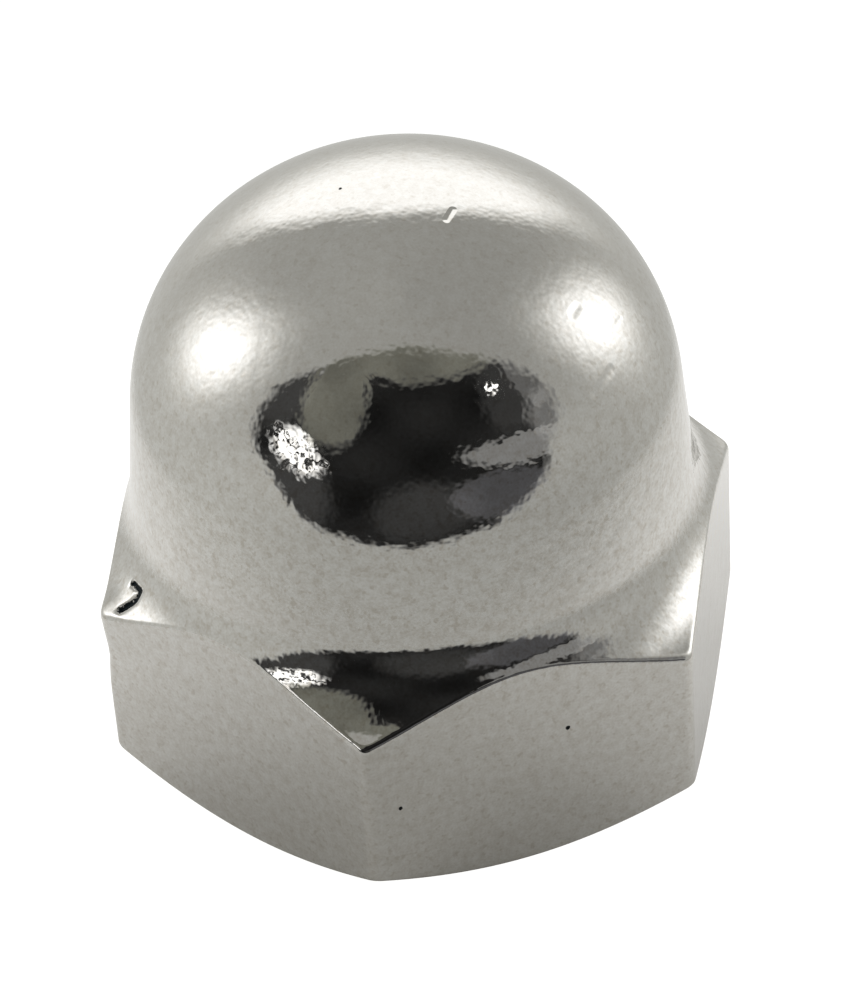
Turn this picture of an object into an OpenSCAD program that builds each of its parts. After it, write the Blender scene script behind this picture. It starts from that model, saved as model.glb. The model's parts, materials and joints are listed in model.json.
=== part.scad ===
// Cap nut: a hexagon and a domed blind end in one piece, with a tapped hole from below.
// +Z points to the crown, and the origin is at the centre of the bearing face.

/* [Hexagon] */
// Width across the flats
across_flats = 12.7; // [12.3:0.1:20]
// Radius of the six upright corners
corner_round = 0.3; // [0.1:0.05:1.5]

/* [Dome] */
// Height of the whole nut
height = 13.6; // [12.2:0.1:20]
// Diameter of the dome's straight side where the cove begins
neck_d = 12.15; // [10:0.05:12.5]
// Lean of the dome's straight side towards the axis, in degrees
side_taper = 5.5; // [0:0.5:10]
// Distance from the axis to the centre of the knuckle, the arc above the straight side
knuckle_offset = 0.65; // [0.2:0.05:3]
// Rise of the crown above the knuckle's own circle
crown_lift = 0.25; // [0.1:0.05:1.5]

/* [Shoulder] */
// Height at which the straight side ends and the cove begins
cove_z = 6.4; // [5:0.05:7]
// Radius of the hollow cove between the dome and the hexagon
cove_r = 2.3; // [0.5:0.05:4]
// Fall of the shoulder beyond the cove, in degrees below level
shoulder_fall = 10; // [5:1:50]

/* [Bearing face] */
// Diameter of the flat bearing face
bearing_d = 11.9; // [10:0.1:12.6]
// Angle of the chamfer around the bearing face, in degrees
bearing_chamfer = 33; // [15:1:45]

/* [Tapped hole] */
// Diameter of the hole's wall, at the crests of a 5/16-18 thread
thread_minor_d = 6.53; // [3:0.01:8]
// Depth of the hole at its full diameter
hole_depth = 9; // [4:0.1:9.5]
// Diameter of the countersink at the bearing face
mouth_d = 8.5; // [8.1:0.05:9.8]
// Included angle of the countersink, in degrees
mouth_angle = 90; // [60:5:120]
// Included angle of the drill's point at the blind end, in degrees
point_angle = 118; // [90:1:140]

/* [Hidden] */

// A round cut or outline uses this many sides, and a cutter runs this far past a face.
$fn = 96;
lap = 1;

// Sharp corners, the centres of the arcs that round them, and where each arc takes over.
// An arc crosses the flats at a crease of this many degrees, too slight to see.
corner_crease = 8;
corner_r = across_flats / 2 / cos(30);
corner_arc_r = corner_r - corner_round * cos(corner_crease) / cos(30);
corner_tip_r = corner_arc_r + corner_round * cos(30);

// The blank reaches past the hexagon's corners before the flats are cut.
blank_r = across_flats;

// The straight side is a slanted line. The knuckle touches it, and the crown touches the knuckle
// and reaches the full height on the axis, so the three run into each other without a corner.
side_normal = [cos(side_taper), sin(side_taper)];
cove_start = [neck_d / 2, cove_z];
side_reach = (neck_d / 2 - knuckle_offset) * side_normal.x - (height - crown_lift - cove_z) * side_normal.y;
knuckle_r = side_reach / (1 - side_normal.y);
knuckle_c = [knuckle_offset, height - crown_lift - knuckle_r];
knuckle_start = knuckle_c + knuckle_r * side_normal;
crown_r = knuckle_r + crown_lift / 2 + knuckle_offset ^ 2 / (2 * crown_lift);
crown_c = [0, height - crown_r];
crown_start = crown_c + crown_r * (knuckle_c - crown_c) / norm(knuckle_c - crown_c);

// Cove: a hollow arc from the straight side to the shoulder.
cove_c = cove_start + cove_r * side_normal;
cove_end = cove_c - cove_r * [sin(shoulder_fall), cos(shoulder_fall)];
shoulder_end = [blank_r, cove_end.y - (blank_r - cove_end.x) * tan(shoulder_fall)];

// Bearing chamfer and hole
chamfer_end = [blank_r, (blank_r - bearing_d / 2) * tan(bearing_chamfer)];
hole_r = thread_minor_d / 2;
mouth_depth = (mouth_d / 2 - hole_r) / tan(mouth_angle / 2);
point_depth = hole_r / tan(point_angle / 2);

// Half section of the dome: straight side, knuckle and crown
module dome_section() {
    polygon([[0, cove_z], cove_start, knuckle_start, knuckle_c, crown_start, crown_c]);
    intersection() {
        translate(knuckle_c) circle(r = knuckle_r);
        translate([0, knuckle_c.y - lap]) square([neck_d, height]);
    }
    intersection() {
        translate(crown_c) circle(r = crown_r);
        polygon([crown_c, crown_c + 2 * (crown_start - crown_c), crown_c + [0, 2 * crown_r]]);
    }
}

// Half section of the blank below the dome: bearing chamfer, shoulder and cove
module base_section() {
    difference() {
        polygon([
            [0, 0], [bearing_d / 2, 0], chamfer_end, shoulder_end,
            cove_end, cove_c, cove_start, [0, cove_z]
        ]);
        translate(cove_c) circle(r = cove_r);
    }
}

// Outline of the hexagon, with its flats square to X and its corners rounded
module hexagon_outline() {
    difference() {
        rotate(30) circle(r = corner_r, $fn = 6);
        for (turn = [30:60:330]) {
            rotate(turn) corner_tip();
        }
    }
}

// What rounding takes off the sharp corner that points along X
module corner_tip() {
    difference() {
        translate([corner_tip_r, -corner_round]) square(2 * corner_round);
        translate([corner_arc_r, 0]) circle(r = corner_round);
    }
}

// The drilled hole, with its countersunk mouth and the drill's point
module tapped_hole() {
    rotate_extrude() polygon([
        [0, -lap], [mouth_d / 2 + lap * tan(mouth_angle / 2), -lap],
        [hole_r, mouth_depth], [hole_r, hole_depth], [0, hole_depth + point_depth]
    ]);
}

module cap_nut() {
    color([0.72, 0.7, 0.68]) difference() {
        intersection() {
            linear_extrude(height = height + lap) hexagon_outline();
            rotate_extrude() {
                dome_section();
                base_section();
            }
        }
        tapped_hole();
    }
}

cap_nut();
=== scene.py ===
import json
import math

import bpy
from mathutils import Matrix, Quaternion, Vector


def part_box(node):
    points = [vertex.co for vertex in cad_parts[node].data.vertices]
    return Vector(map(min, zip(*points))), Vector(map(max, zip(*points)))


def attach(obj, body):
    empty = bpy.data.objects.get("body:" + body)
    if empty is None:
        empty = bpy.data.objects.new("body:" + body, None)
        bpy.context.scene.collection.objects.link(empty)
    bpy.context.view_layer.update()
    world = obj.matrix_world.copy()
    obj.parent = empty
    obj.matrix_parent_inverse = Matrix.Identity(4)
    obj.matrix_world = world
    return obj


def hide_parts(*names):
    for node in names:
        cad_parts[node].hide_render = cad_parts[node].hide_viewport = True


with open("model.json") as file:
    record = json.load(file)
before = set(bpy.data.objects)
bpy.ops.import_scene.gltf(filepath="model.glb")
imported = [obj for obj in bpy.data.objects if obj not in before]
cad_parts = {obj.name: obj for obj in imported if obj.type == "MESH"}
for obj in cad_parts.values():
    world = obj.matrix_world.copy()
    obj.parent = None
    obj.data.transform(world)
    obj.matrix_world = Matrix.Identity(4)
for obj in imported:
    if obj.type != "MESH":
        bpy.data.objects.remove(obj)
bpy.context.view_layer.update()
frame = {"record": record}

# --- Sizes, in metres and radians -------------------------------------------------------------

MM = 0.001
MICRON = 0.000001
nut_low, nut_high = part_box("cap_nut")
nut_centre = (nut_low + nut_high) / 2
thread_mount = next(m for m in frame["record"]["mounts"] if m["name"] == "thread")

NUT_SIZES = {
    "Across flats": nut_high.x - nut_low.x,
    "Height": nut_high.z - nut_low.z,
    "Corner round": 0.3 * MM,
    "Neck diameter": 12.15 * MM,
    "Side taper": math.radians(5.5),
    "Knuckle offset": 0.65 * MM,
    "Crown lift": 0.25 * MM,
    "Cove height": 6.4 * MM,
    "Cove radius": 2.3 * MM,
    "Bearing diameter": 11.9 * MM,
    "Bearing chamfer": math.radians(33),
    "Mouth diameter": 8.5 * MM,
    "Thread minor radius": thread_mount["dims"]["r_mm"] * MM,
    "Thread depth": 0.68 * MM,
    "Thread pitch": 25.4 / 18 * MM,
    "Thread end": 7.6 * MM,
    "Hole depth": 9 * MM,
    "Drill half angle": math.radians(59),
    "Edge softness": 0.21 * MM,
    "Dome shift X": -0.103 * MM,
    "Dome shift Y": -0.015 * MM,
}

# Rings of faces that each part of the profile is cut into, from the crown down and back up inside
NUT_RINGS = {
    "crown": 40,
    "knuckle": 40,
    "side": 8,
    "cove": 40,
    "shoulder_edge": 6,
    "flat": 16,
    "lower_edge": 6,
    "bearing_chamfer": 5,
    "bearing_edge": 4,
    "bearing_face": 4,
    "mouth_edge": 4,
    "bore": 70,
    "drill_end": 2,
    "drill_point": 8,
}
NUT_COLUMNS = 360
CORNER_CROWDING = 0.85
HOLE_CROWDING_ROWS = 12
DRILL_END_WIDTH = 0.985

# In pitches: the width of the flats at the thread's crest and root, and the length of its runout
THREAD_LAND = 0.12
THREAD_RUNOUT = 0.5

# Damage, in millimetres and degrees: a burr over one corner with a hooked crack, pits (each a place and
# a radius), and nicks (each a line from one place to another, its half width, and its depth in microns).
# The lump, the hollow in the edge below it, and the sunk crack each have a size and a width.
BURR_ANGLE = -150
BURR_TIP_R, BURR_TIP_Z = 7.05, 4.8
LUMP, LUMP_WIDTH = 0.055, 0.4
HOLLOW, HOLLOW_WIDTH, HOLLOW_Z = 0.06, 0.5, 3.5
CRACK_DEPTH, CRACK_WIDTH = 0.09, 0.06
BURR_REACH = 3.0
CRACK = ((-5.64, -3.36, 5.32), (-5.42, -3.64, 5.37), (-5.53, -3.74, 5.17), (-5.86, -3.75, 4.88))
CRACK_HALF_WIDTH = 0.045
CRACK_GAP = "crack_gap"
PITS = (((3.89, -5.09, 3.6), 0.04), ((0.61, -6.98, 2.74), 0.03), ((-1.15, -0.09, 13.51), 0.02))
NICKS = (
    ((1.17, -0.86, 13.41), (1.25, -0.52, 13.43), 0.1, 14),
    ((4.35, -2.75, 10.62), (4.6, -2.1, 10.75), 0.16, 8),
    ((4.55, -1.25, 11.2), (4.68, -0.95, 11.22), 0.1, 6),
    ((3.8, -1.75, 11.85), (3.9, -1.55, 11.9), 0.16, 9),
)


# --- Sums of fields ---------------------------------------------------------------------------


class Field:
    """A number that a node tree works out afresh at every point; sums of them become Math nodes."""

    def __init__(self, tree, socket):
        self.tree, self.socket = tree, socket

    def __add__(self, other):
        return calc("ADD", self, other)

    def __sub__(self, other):
        return calc("SUBTRACT", self, other)

    def __mul__(self, other):
        return calc("MULTIPLY", self, other)

    def __truediv__(self, other):
        return calc("DIVIDE", self, other)

    def __rsub__(self, other):
        return calc("SUBTRACT", other, self)

    __radd__, __rmul__ = __add__, __mul__


def feed(tree, socket, value):
    """Gives a node's input a field, another node's output, or a plain value."""
    if isinstance(value, Field):
        tree.links.new(value.socket, socket)
    elif isinstance(value, bpy.types.NodeSocket):
        tree.links.new(value, socket)
    else:
        socket.default_value = value


def calc(operation, *values, clamp=False):
    """A Math node on fields and plain numbers."""
    tree = next(v.tree for v in values if isinstance(v, Field))
    node = tree.nodes.new("ShaderNodeMath")
    node.operation, node.use_clamp = operation, clamp
    for socket, value in zip(node.inputs, values):
        feed(tree, socket, value)
    return Field(tree, node.outputs[0])


def sin(x):
    return calc("SINE", x)


def cos(x):
    return calc("COSINE", x)


def tan(x):
    return calc("TANGENT", x)


def sqrt(x):
    return calc("SQRT", x)


def clamp(x):
    return calc("ADD", x, 0, clamp=True)


def above(x, limit):
    """1 where x is over the limit, otherwise 0."""
    return calc("GREATER_THAN", x, limit)


def mix(a, b, t):
    return a + (b - a) * t


def ease(x, start=0.0, end=1.0):
    """Runs from 0 to 1 with soft ends while x runs from start to end."""
    node = x.tree.nodes.new("ShaderNodeMapRange")
    node.interpolation_type = "SMOOTHSTEP"
    node.inputs["From Min"].default_value, node.inputs["From Max"].default_value = start, end
    x.tree.links.new(x.socket, node.inputs["Value"])
    return Field(x.tree, node.outputs[0])


def vector_calc(tree, operation, first, second=None):
    """A Vector Math node on sockets or plain vectors, or on a vector and a field to scale it by."""
    node = tree.nodes.new("ShaderNodeVectorMath")
    node.operation = operation
    feed(tree, node.inputs[0], first)
    if second is not None:
        feed(tree, node.inputs["Scale" if operation == "SCALE" else 1], second)
    gives_number = operation in ("LENGTH", "DISTANCE", "DOT_PRODUCT")
    return node.outputs["Value" if gives_number else "Vector"]


def separate(tree, vector):
    node = tree.nodes.new("ShaderNodeSeparateXYZ")
    tree.links.new(vector, node.inputs[0])
    return [Field(tree, s) for s in node.outputs]


def joined(tree, *values):
    """A vector of three fields or plain numbers."""
    node = tree.nodes.new("ShaderNodeCombineXYZ")
    for socket, value in zip(node.inputs, values):
        feed(tree, socket, value)
    return node.outputs[0]


# --- The nut's shape --------------------------------------------------------------------------


def arc(centre, radius, start, end):
    """Points (radius, height) on an arc, by the angle from straight up."""

    def point(s):
        angle = mix(start, end, s)
        return centre[0] + radius * sin(angle), centre[1] + radius * cos(angle)

    return point


def line(a, b):
    def point(s):
        return mix(a[0], b[0], s), mix(a[1], b[1], s)

    return point


def softened(a, corner, b, turn):
    """The small round that takes a sharp corner off, from a to b, for an edge that turns by an angle."""

    def point(s):
        wa, wc, wb = (1 - s) * (1 - s), 2 * cos(turn / 2) * s * (1 - s), s * s
        total = wa + wc + wb
        return tuple((a[i] * wa + corner[i] * wc + b[i] * wb) / total for i in (0, 1))

    return point


def nut_profile(size, rim, angle, row):
    """The nut's outline (radius, height) on every row, where the hexagon's side stands at radius rim."""
    height, soft = size["Height"], size["Edge softness"]
    neck_r, taper, knuckle_offset = size["Neck diameter"] / 2, size["Side taper"], size["Knuckle offset"]
    crown_lift, cove_z, cove_r = size["Crown lift"], size["Cove height"], size["Cove radius"]

    side_reach = (neck_r - knuckle_offset) * cos(taper) - (height - crown_lift - cove_z) * sin(taper)
    knuckle_r = side_reach / (1 - sin(taper))
    knuckle_c = (knuckle_offset, height - crown_lift - knuckle_r)
    crown_r = knuckle_r + crown_lift / 2 + knuckle_offset * knuckle_offset / (2 * crown_lift)
    crown_turn = calc("ARCSINE", knuckle_offset / (crown_r - knuckle_r))
    side_turn = math.pi / 2 - taper
    knuckle_start = (knuckle_c[0] + knuckle_r * sin(side_turn), knuckle_c[1] + knuckle_r * cos(side_turn))

    cove_c = (neck_r + cove_r * cos(taper), cove_z + cove_r * sin(taper))
    shoulder_turn = calc("ARCCOSINE", (cove_c[0] - rim) / cove_r)
    shoulder_z = cove_c[1] - cove_r * sin(shoulder_turn)
    shoulder_cut = soft * tan(shoulder_turn / 2)
    cove_end = shoulder_turn - shoulder_cut / cove_r
    cove_stop = (cove_c[0] - cove_r * cos(cove_end), cove_c[1] - cove_r * sin(cove_end))
    flat_top = (rim, shoulder_z - shoulder_cut)

    chamfer, bearing_r = size["Bearing chamfer"], size["Bearing diameter"] / 2
    slope = (cos(chamfer), sin(chamfer))
    lower_turn = math.pi / 2 - chamfer
    lower_cut, bearing_cut = soft * tan(lower_turn / 2), soft * tan(chamfer / 2)
    lower_corner = (rim, (rim - bearing_r) * tan(chamfer))
    flat_foot = (rim, lower_corner[1] + lower_cut)
    chamfer_top = (rim - slope[0] * lower_cut, lower_corner[1] - slope[1] * lower_cut)
    chamfer_foot = (bearing_r + slope[0] * bearing_cut, slope[1] * bearing_cut)

    mouth_r, minor_r = size["Mouth diameter"] / 2, size["Thread minor radius"]
    mouth_turn = math.pi / 4
    mouth_cut = soft * math.tan(mouth_turn / 2)
    mouth_side = mouth_cut * math.sin(mouth_turn)
    hole_depth, thread_end = size["Hole depth"], size["Thread end"]
    drill_tip = hole_depth + minor_r / tan(size["Drill half angle"])
    drill_edge = (minor_r * DRILL_END_WIDTH, mix(drill_tip, hole_depth, DRILL_END_WIDTH))
    mouth_edge = ((mouth_r + mouth_cut, 0), (mouth_r, 0), (mouth_r - mouth_side, mouth_side))

    def bore(s):
        z = mix(mouth_side, hole_depth, s)
        turns = calc("FRACT", z / size["Thread pitch"] - angle / (2 * math.pi) + 1)
        groove = clamp((1 - calc("ABSOLUTE", 2 * turns - 1) - THREAD_LAND) / (1 - 2 * THREAD_LAND))
        fade = 1 - clamp((z - thread_end) / (THREAD_RUNOUT * size["Thread pitch"]))
        thread_r = minor_r + size["Thread depth"] * groove * fade
        return calc("MAXIMUM", mouth_r - z, thread_r), z

    def flat(s):
        return rim, mix(flat_top[1], flat_foot[1], 0.5 - 0.5 * cos(math.pi * s))

    parts = {
        "crown": arc((0, height - crown_r), crown_r, 0, crown_turn),
        "knuckle": arc(knuckle_c, knuckle_r, crown_turn, side_turn),
        "side": line(knuckle_start, (neck_r, cove_z)),
        "cove": arc(cove_c, cove_r, -math.pi / 2 - taper, -math.pi / 2 - cove_end),
        "shoulder_edge": softened(cove_stop, (rim, shoulder_z), flat_top, shoulder_turn),
        "flat": flat,
        "lower_edge": softened(flat_foot, lower_corner, chamfer_top, lower_turn),
        "bearing_chamfer": line(chamfer_top, chamfer_foot),
        "bearing_edge": softened(chamfer_foot, (bearing_r, 0), (bearing_r - bearing_cut, 0), chamfer),
        "bearing_face": line((bearing_r - bearing_cut, 0), (mouth_r + mouth_cut, 0)),
        "mouth_edge": softened(*mouth_edge, 0 * height + mouth_turn),
        "bore": bore,
        "drill_end": line((minor_r, hole_depth), drill_edge),
        "drill_point": line(drill_edge, (0, drill_tip)),
    }
    first, radius, z = 0, None, None
    for name, rings in NUT_RINGS.items():
        part_r, part_z = parts[name](clamp((row - first) / rings))
        if radius is None:
            radius, z = part_r, part_z
        else:
            here = above(row, first + 0.5)
            radius, z = mix(radius, part_r, here), mix(z, part_z, here)
        first += rings
    return radius, z


def nut_tree(material):
    """Bends a flat grid round the nut: its columns go round the axis, its rows follow the profile."""
    tree = bpy.data.node_groups.new("cap_nut_shape", "GeometryNodeTree")
    inputs = {}
    for name, value in NUT_SIZES.items():
        socket = tree.interface.new_socket(name, in_out="INPUT", socket_type="NodeSocketFloat")
        socket.default_value = value
        inputs[name] = socket.identifier
    tree.interface.new_socket("Geometry", in_out="OUTPUT", socket_type="NodeSocketGeometry")
    group_in, group_out = tree.nodes.new("NodeGroupInput"), tree.nodes.new("NodeGroupOutput")
    size = {name: Field(tree, group_in.outputs[name]) for name in NUT_SIZES}

    rows = sum(NUT_RINGS.values())
    grid = tree.nodes.new("GeometryNodeMeshGrid")
    grid.inputs["Size X"].default_value = grid.inputs["Size Y"].default_value = 1
    grid.inputs["Vertices X"].default_value = NUT_COLUMNS + 1
    grid.inputs["Vertices Y"].default_value = rows + 1
    across, along, _ = separate(tree, tree.nodes.new("GeometryNodeInputPosition").outputs[0])
    row = calc("ROUND", (along + 0.5) * rows)

    # Columns crowd towards the hexagon's corners, and are even again at the crown and inside the hole
    outer_rows = sum(NUT_RINGS[name] for name in ("crown", "knuckle", "side"))
    hole_row = rows - NUT_RINGS["bore"] - NUT_RINGS["drill_end"] - NUT_RINGS["drill_point"]
    crowd = CORNER_CROWDING * ease(row, 0, outer_rows) * ease(row, hole_row + HOLE_CROWDING_ROWS, hole_row)
    even = (0.5 - across) * (2 * math.pi)
    angle = even - crowd * sin(6 * (even - math.pi / 6)) / 6

    # The hexagon's outline at this angle: a flat, or the round of the nearest corner
    half_flats, corner_r = size["Across flats"] / 2, size["Corner round"]
    off_corner = calc("PINGPONG", angle - math.pi / 6 + 2 * math.pi, math.pi / 6)
    flat_r = half_flats / cos(math.pi / 6 - off_corner)
    corner_c = (half_flats - corner_r) / math.cos(math.pi / 6)
    reach = corner_c * sin(off_corner)
    round_r = corner_c * cos(off_corner) + sqrt(calc("MAXIMUM", corner_r * corner_r - reach * reach, 0))
    tip = corner_c + corner_r * math.cos(math.pi / 6)
    at_flat = above(off_corner, calc("ARCTAN2", corner_r * math.sin(math.pi / 6), tip))
    outline = mix(round_r, flat_r, at_flat)

    # Down to the middle of the flats the nut is turned about the dome's own axis
    flat_row = outer_rows + NUT_RINGS["cove"] + NUT_RINGS["shoulder_edge"] + NUT_RINGS["flat"] / 2
    turned = 1 - above(row, flat_row)
    axis = (size["Dome shift X"] * turned, size["Dome shift Y"] * turned)
    reach_x, reach_y = outline * cos(angle) - axis[0], outline * sin(angle) - axis[1]
    rim = sqrt(reach_x * reach_x + reach_y * reach_y)
    radius, z = nut_profile(size, rim, angle, row)

    place = joined(tree, axis[0] + radius * reach_x / rim, axis[1] + radius * reach_y / rim, z)
    shaped = tree.nodes.new("GeometryNodeSetPosition")
    closed = tree.nodes.new("GeometryNodeMergeByDistance")
    closed.inputs["Distance"].default_value = 0.02 * MICRON
    smooth = tree.nodes.new("GeometryNodeSetShadeSmooth")
    real = tree.nodes.new("GeometryNodeRealizeInstances")
    coat = tree.nodes.new("GeometryNodeSetMaterial")
    coat.inputs["Material"].default_value = material
    tree.links.new(grid.outputs["Mesh"], shaped.inputs["Geometry"])
    tree.links.new(place, shaped.inputs["Position"])
    steps = (shaped, closed, smooth, real, coat, group_out)
    for before, after in zip(steps, steps[1:]):
        tree.links.new(before.outputs[0], after.inputs[0])
    return tree, inputs


def make_nut(material):
    piece = bpy.data.objects.new("plated_nut", bpy.data.meshes.new("plated_nut"))
    bpy.context.scene.collection.objects.link(piece)
    tree, inputs = nut_tree(material)
    shape = piece.modifiers.new("shape", "NODES")
    shape.node_group = tree
    for name, value in NUT_SIZES.items():
        shape[inputs[name]] = value
    bpy.context.view_layer.update()
    made = bpy.data.meshes.new_from_object(piece.evaluated_get(bpy.context.evaluated_depsgraph_get()))
    made.name = "plated_nut"
    piece.modifiers.remove(shape)
    piece.data = made
    return piece


# --- Chrome plate -----------------------------------------------------------------------------

BRIGHT_PLATE = (0.757, 0.75, 0.724, 1)
DULL_PLATE = (0.6, 0.57, 0.52, 1)
# Near black: painted shade for inside the crack and the pits
CRACK_SHADE_BLACK = (0.012, 0.016, 0.018, 1)

# Scales of the plate's patterns, in waves per metre
GRAIN, RAGGED_EDGE, PEEL, FRECKLES, MOTTLE, WAVES = 20000, 11000, 9000, 7600, 4800, 1250

# Heights in millimetres: the grime is thickest on the cove and the lower dome, and thins out to the crown
GRIME_THICKENS = (4.5, 6)
GRIME_THINS = (9, 12)

# Blurred outlines of the crack and the pits, in millimetres
CRACK_BLUR = 0.03
PIT_BLUR = 0.02
RAGGEDNESS = 0.13

# Heights of the plate's relief, in microns
WAVE_HEIGHT = 14
PEEL_HEIGHT = 1.5
OPEN_DEPTH = 12


def noise(tree, vector, scale, detail=2.0, roughness=0.5):
    node = tree.nodes.new("ShaderNodeTexNoise")
    node.inputs["Scale"].default_value = scale
    node.inputs["Detail"].default_value = detail
    node.inputs["Roughness"].default_value = roughness
    tree.links.new(vector, node.inputs["Vector"])
    return Field(tree, node.outputs[0])


def gap_to_spot(tree, coords, place):
    """How far a point is from a place in millimetres, in the same."""
    return Field(tree, vector_calc(tree, "DISTANCE", coords, Vector(place) * MM)) / MM


def gap_to_line(tree, coords, start, end):
    """How far a point is from the straight line between two places in millimetres, in the same."""
    start, end = Vector(start) * MM, Vector(end) * MM
    along = end - start
    from_start = vector_calc(tree, "SUBTRACT", coords, start)
    run = Field(tree, vector_calc(tree, "DOT_PRODUCT", from_start, along / along.length_squared))
    middle = vector_calc(tree, "SUBTRACT", from_start, along / 2)
    nearest = vector_calc(tree, "SCALE", along, clamp(run) - 0.5)
    return Field(tree, vector_calc(tree, "DISTANCE", middle, nearest)) / MM


def chrome_plate():
    """Bright plate with the faint orange peel of polished steel under it, a few nicks and one crack."""
    material = bpy.data.materials.new("chrome_plate")
    material.use_nodes = True
    tree = material.node_tree
    shader = tree.nodes["Principled BSDF"]
    shader.inputs["Metallic"].default_value = 1.0
    coords = tree.nodes.new("ShaderNodeTexCoord").outputs["Object"]
    height = separate(tree, coords)[2] / MM
    grain = noise(tree, coords, GRAIN, 0)
    mottle = noise(tree, coords, MOTTLE, 2, 0.7)

    # The crack by the burr, and the pits, are real damage sunk into the plate; their near-black colour is
    # painted shade inside them
    ragged = (noise(tree, coords, RAGGED_EDGE, 1) - 0.5) * RAGGEDNESS
    crack = tree.nodes.new("ShaderNodeAttribute")
    crack.attribute_name = CRACK_GAP
    crack_gap = Field(tree, crack.outputs["Fac"]) + ragged
    crack_and_pits_shaded = ease(crack_gap, CRACK_HALF_WIDTH + CRACK_BLUR, CRACK_HALF_WIDTH)
    for place, pit_r in PITS:
        gap = gap_to_spot(tree, coords, place) + ragged * 0.4
        crack_and_pits_shaded = calc("MAXIMUM", crack_and_pits_shaded, ease(gap, pit_r + PIT_BLUR, pit_r))

    tint = tree.nodes.new("ShaderNodeMix")
    tint.data_type = "RGBA"
    tint.inputs["A"].default_value = DULL_PLATE
    tint.inputs["B"].default_value = BRIGHT_PLATE
    grimy = 1 + 0.35 * ease(height, *GRIME_THICKENS) - 0.7 * ease(height, *GRIME_THINS)
    freckle = ease(noise(tree, coords, FRECKLES, 1), 0.58, 0.74)
    shade = 0.64 + grimy * (1.5 * (mottle - 0.5) + 0.7 * (grain - 0.5) - 0.5 * freckle)
    tree.links.new(shade.socket, tint.inputs["Factor"])
    # Painted shade: the crack and the pits are painted near black
    shaded_crack_colour = tree.nodes.new("ShaderNodeMix")
    shaded_crack_colour.data_type = "RGBA"
    shaded_crack_colour.inputs["B"].default_value = CRACK_SHADE_BLACK
    tree.links.new(crack_and_pits_shaded.socket, shaded_crack_colour.inputs["Factor"])
    tree.links.new(tint.outputs["Result"], shaded_crack_colour.inputs["A"])
    tree.links.new(shaded_crack_colour.outputs["Result"], shader.inputs["Base Color"])

    haze = 0.02 + 0.04 * grain + 0.4 * crack_and_pits_shaded
    tree.links.new(haze.socket, shader.inputs["Roughness"])

    # Slow waves and fine orange peel, then what has been cut into them
    relief = noise(tree, coords, WAVES, 3, 0.6) * WAVE_HEIGHT + noise(tree, coords, PEEL, 0) * PEEL_HEIGHT
    relief = relief - crack_and_pits_shaded * OPEN_DEPTH
    for start, end, half_width, depth in NICKS:
        relief = relief - depth * ease(gap_to_line(tree, coords, start, end), half_width, 0.0)
    bump = tree.nodes.new("ShaderNodeBump")
    bump.inputs["Strength"].default_value = 1.0
    bump.inputs["Distance"].default_value = 1.0 * MICRON
    tree.links.new(relief.socket, bump.inputs["Height"])
    tree.links.new(bump.outputs[0], shader.inputs["Normal"])
    return material


# --- Damage -----------------------------------------------------------------------------------


def raise_burr(piece):
    """Raises a small lump on one corner, and sinks a hollow below it and the hooked crack behind it."""
    corner = math.radians(BURR_ANGLE)
    out = Vector((math.cos(corner), math.sin(corner), 0))
    tip = (out * BURR_TIP_R + Vector((0, 0, BURR_TIP_Z))) * MM
    normals = [v.normal.copy() for v in piece.data.vertices]
    crack_gap = piece.data.attributes.new(CRACK_GAP, "FLOAT", "POINT")
    crack = [Vector(place) * MM for place in CRACK]
    for vertex, normal in zip(piece.data.vertices, normals):
        spot = vertex.co.copy()
        gap = BURR_REACH
        if (spot - tip).length < BURR_REACH * MM:
            for start, end in zip(crack, crack[1:]):
                along = end - start
                t = min(max((spot - start).dot(along) / along.length_squared, 0), 1)
                gap = min(gap, (spot - start - along * t).length / MM)
            aside = (spot - out * spot.dot(out)).xy.length / MM
            lump = LUMP * math.exp(-(((spot - tip).length / MM / LUMP_WIDTH) ** 2))
            hollow = HOLLOW * math.exp(-(((spot.z / MM - HOLLOW_Z) / HOLLOW_WIDTH) ** 2))
            hollow *= math.exp(-((aside / HOLLOW_WIDTH) ** 2))
            sunk = CRACK_DEPTH * math.exp(-((gap / CRACK_WIDTH) ** 2))
            vertex.co = spot + normal * ((lump - hollow - sunk) * MM)
        crack_gap.data[vertex.index].value = gap
    piece.data.update()


# --- Floor, sky and camera --------------------------------------------------------------------

CAMERA_AZIMUTH = 11.8094
CAMERA_ELEVATION = 38.6712
CAMERA_ROLL = -4.0464
CAMERA_DISTANCE = 92.5414 * MM
CAMERA_LENS = 153.7304
CAMERA_AIM = Vector((0.148, 0.031, 5.316)) * MM

# Floors: their radius, colour and glow. The mirrored one thins out from FLOOR_FADE outwards. Its glow is
# painted
# light and painted shade: it is darkest near the nut and on one side, which is given in degrees as the
# camera's azimuth is.
FLOOR_R, FLOOR_COLOUR, FLOOR_GLOW = 1500 * MM, (0.9, 0.9, 0.9), 0.62
MIRRORED_R, MIRRORED_COLOUR, FLOOR_FADE = 22 * MM, (0.86, 0.85, 0.83), 12 * MM
FLOOR_DARK_SIDE = 6
DARK_GLOW, SIDE_GLOW = 0.05, 0.38
SHADE_NEAR_NUT, SHADE_START, SHADE_END = 0.42, 6.5 * MM, 12.5 * MM

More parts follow.
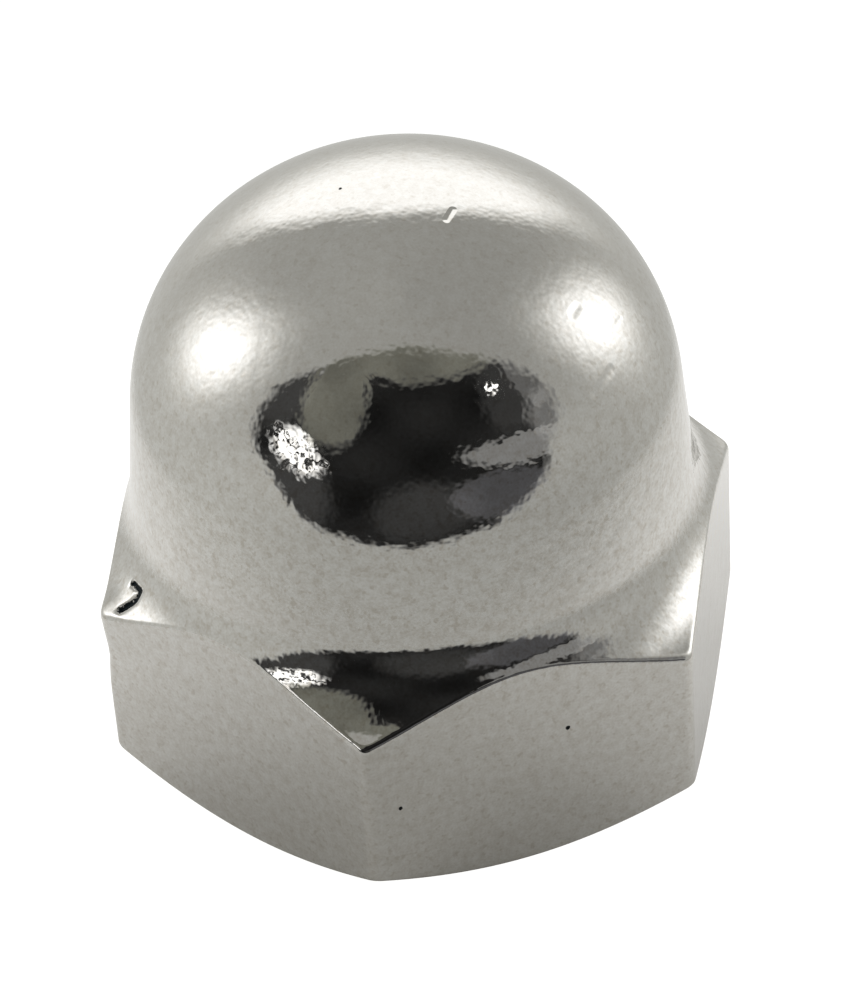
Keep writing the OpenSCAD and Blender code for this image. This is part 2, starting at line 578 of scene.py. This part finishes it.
# What the plate mirrors, as ovals in the sky. Each has a middle and half widths, in degrees round from the
# camera's side and up from level, and some have a slant. The cuts end with the blur of their outline.
SIDE_LAMPS = (((-103, 22), (15, 9), 51), ((107, 17), (15, 8.5), -51))
SIDE_LAMP_POWER = 1.6
REAR_LAMP, REAR_LAMP_TURN = ((0, 22), (35, 29.5)), 2
REAR_LAMP_FOOT, REAR_LAMP_FALL = 26, 14
SHADED_CLOTH = ((12, -30), (78, 26))
OPENING = ((-1, 22), (68, 46))
OPENING_CUTS = (((70, -4), (15, 15), 0, 0.3), ((-80, -25), (35, 35), 0, 0.06))
WALL = ((-38, 42), (17, 22))
TABLE = ((36, -7), (22, 11), -14)
WINDOW = ((-48, 14), (12, 7.5), -25)
BULB = ((46, 39), (3.5, 2.2))

# Grey things in the room behind the opening: brightness, middle, half widths, slant, blur of the outline
ROOM_GREYS = (
    (0.24, (46, 9), (27, 6), -14, 0.15),
    (0.10, (63, 35), (8, 14), 0, 0.15),
    (0.19, (62, 17), (9, 9), 0, 0.4),
    (0.04, (-48, -4), (16, 16), 0, 0.3),
    (0.03, (4, -8), (20, 14), 0, 0.3),
    (0.045, (-62, 38), (11, 20), 0, 0.3),
    (0.03, (50, 32), (13, 16), 0, 0.3),
)


def floor_sheet(name, radius, colour, glow, fade_from=None, sides=96):
    """A round sheet of floor. From the radius fade_from outwards it thins away to nothing."""
    mesh = bpy.data.meshes.new(name)
    z = nut_low.z - 2 * MICRON
    turns = [2 * math.pi * i / sides for i in range(sides)]
    mesh.from_pydata([(radius * math.cos(t), radius * math.sin(t), z) for t in turns], [], [range(sides)])
    sheet = bpy.data.objects.new(name, mesh)
    bpy.context.scene.collection.objects.link(sheet)
    material = bpy.data.materials.new(name)
    material.use_nodes = True
    tree = material.node_tree
    shader = tree.nodes["Principled BSDF"]
    shader.inputs["Base Color"].default_value = (*colour, 1)
    shader.inputs["Roughness"].default_value = 0.9
    shader.inputs["Specular IOR Level"].default_value = 0.0
    shader.inputs["Emission Color"].default_value = (1, 1, 1, 1)
    shader.inputs["Emission Strength"].default_value = glow
    if fade_from:
        x, y, _ = separate(tree, tree.nodes.new("ShaderNodeTexCoord").outputs["Object"])
        out = sqrt(x * x + y * y)
        alpha = ease(out, radius, fade_from)
        tree.links.new(alpha.socket, shader.inputs["Alpha"])
        # Painted light: the floor glows brighter at the nut's sides and behind it, as lamps there would
        # light it; painted shade darkens its front and the floor close round the nut
        front = math.radians(FLOOR_DARK_SIDE)
        side = clamp(1 - (x * math.sin(front) - y * math.cos(front)) / out)
        clear = 1 - SHADE_NEAR_NUT + SHADE_NEAR_NUT * ease(out, SHADE_START, SHADE_END)
        painted_floor_light = (DARK_GLOW + SIDE_GLOW * side) * clear
        tree.links.new(painted_floor_light.socket, shader.inputs["Emission Strength"])
    mesh.materials.append(material)
    return sheet


def make_floors():
    """One floor for the camera, and a small greyer one that the plate mirrors."""
    seen = floor_sheet("floor", FLOOR_R, FLOOR_COLOUR, FLOOR_GLOW)
    seen.visible_diffuse = seen.visible_glossy = seen.visible_shadow = False
    mirrored = floor_sheet("mirrored_floor", MIRRORED_R, MIRRORED_COLOUR, 0, FLOOR_FADE)
    mirrored.visible_camera = False


def oval(sky, centre, size, slant=0.0):
    """How far a direction is from the middle of a slanted oval in the sky: 1 on its outline."""
    tree, place = sky
    node = tree.nodes.new("ShaderNodeMapping")
    node.vector_type = "TEXTURE"
    node.inputs["Location"].default_value = (*centre, 0)
    node.inputs["Rotation"].default_value = (0, 0, math.radians(slant))
    node.inputs["Scale"].default_value = (*size, 1)
    tree.links.new(place, node.inputs["Vector"])
    return Field(tree, vector_calc(tree, "LENGTH", node.outputs[0]))


def glow(*place):
    """A soft round light: 1 in its middle, fading like a bell curve."""
    distance = oval(*place)
    return calc("EXPONENT", distance * distance * -0.5)


def patch(*place, edge=0.3):
    """An even patch with a blurred outline."""
    return ease(oval(*place), 1 + edge, 1 - edge)


def studio_sky():
    """A pale cloth tent with three lamps behind it, and a dark opening on the camera's side."""
    world = bpy.data.worlds.new("studio_sky")
    bpy.context.scene.world = world
    world.use_nodes = True
    tree = world.node_tree
    tree.nodes.clear()
    direction = tree.nodes.new("ShaderNodeTexCoord").outputs["Generated"]
    x, y, z = separate(tree, direction)
    front = math.radians(CAMERA_AZIMUTH)
    across = x * math.cos(front) + y * math.sin(front)
    toward = x * math.sin(front) - y * math.cos(front)
    around = calc("DEGREES", calc("ARCTAN2", across, toward))
    behind = 180 - calc("ABSOLUTE", around + REAR_LAMP_TURN)
    up = calc("DEGREES", calc("ARCSINE", z))

    # The rear lamp is half an oval, which stands on its own level and fades out below it
    sky = tree, joined(tree, around, up, 0)
    rear_sky = tree, joined(tree, behind, calc("MAXIMUM", up, REAR_LAMP[0][1]), 0)

    cloth = (0.385 + 0.19 * ease(up, 55, -35)) * (1 - 0.07 * across / sqrt(1 - z * z + 0.001))
    cloth = cloth * (1 - 0.24 * patch(sky, *SHADED_CLOTH, edge=0.5))
    rear_fall = calc("MAXIMUM", REAR_LAMP_FOOT - up, 0) / REAR_LAMP_FALL
    lamps = patch(rear_sky, *REAR_LAMP, edge=0.2) * calc("EXPONENT", rear_fall * rear_fall * -0.5)
    for place in SIDE_LAMPS:
        lamps = lamps + SIDE_LAMP_POWER * glow(sky, *place)

    opening = patch(sky, *OPENING, edge=0.05)
    for *place, edge in OPENING_CUTS:
        opening = opening * (1 - patch(sky, *place, edge=edge))
    haze = 0.5 + 0.5 * sin(around * 0.11 + 0.7) * cos(up * 0.16 + 0.4)
    wall = calc("MAXIMUM", patch(sky, *WALL, edge=0.15), ease(up + 0.09 * around, 50, 55))
    table = patch(sky, *TABLE, edge=0.15)
    room = 0.009 + 0.014 * haze + wall * (0.13 + 0.05 * haze) + 0.075 * table
    for brightness, *place, edge in ROOM_GREYS:
        room = room + brightness * patch(sky, *place, edge=edge)
    window = 1.8 * patch(sky, *WINDOW) * ease(noise(tree, direction, 24, 1), 0.39, 0.5)
    bulb = 3 * patch(sky, *BULB)
    light = mix(cloth + lamps, room + window + bulb, opening)
    warmth = mix(0.03 - 0.03 * clamp(lamps), 0.10 * wall - 0.05 * table, opening)
    tinted = tree.nodes.new("ShaderNodeCombineColor")
    warm_light = light * (1 + 0.4 * warmth)
    for channel, value in zip(tinted.inputs, (warm_light, warm_light, light * (1 - warmth))):
        tree.links.new(value.socket, channel)

    background = tree.nodes.new("ShaderNodeBackground")
    tree.links.new(tinted.outputs[0], background.inputs["Color"])
    plain = tree.nodes.new("ShaderNodeBackground")
    plain.inputs["Color"].default_value = (1, 1, 1, 1)
    seen = tree.nodes.new("ShaderNodeMixShader")
    tree.links.new(tree.nodes.new("ShaderNodeLightPath").outputs["Is Camera Ray"], seen.inputs[0])
    tree.links.new(background.outputs[0], seen.inputs[1])
    tree.links.new(plain.outputs[0], seen.inputs[2])
    output = tree.nodes.new("ShaderNodeOutputWorld")
    tree.links.new(seen.outputs[0], output.inputs[0])


def make_camera():
    camera = bpy.data.objects.new("camera", bpy.data.cameras.new("camera"))
    bpy.context.scene.collection.objects.link(camera)
    bpy.context.scene.camera = camera
    camera.data.lens = CAMERA_LENS
    camera.data.clip_start, camera.data.clip_end = 1 * MM, 10
    azimuth, elevation = math.radians(CAMERA_AZIMUTH), math.radians(CAMERA_ELEVATION)
    back = Vector((
        math.sin(azimuth) * math.cos(elevation),
        -math.cos(azimuth) * math.cos(elevation),
        math.sin(elevation),
    ))
    camera.location = Vector((nut_centre.x, nut_centre.y, nut_low.z)) + CAMERA_AIM + back * CAMERA_DISTANCE
    camera.rotation_mode = "QUATERNION"
    roll = Quaternion((0, 0, 1), math.radians(CAMERA_ROLL))
    camera.rotation_quaternion = (-back).to_track_quat("-Z", "Y") @ roll


make_camera()
make_floors()
studio_sky()
bpy.context.scene.view_settings.view_transform = "Standard"

nut = make_nut(chrome_plate())
raise_burr(nut)
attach(nut, "root")
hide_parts("cap_nut")
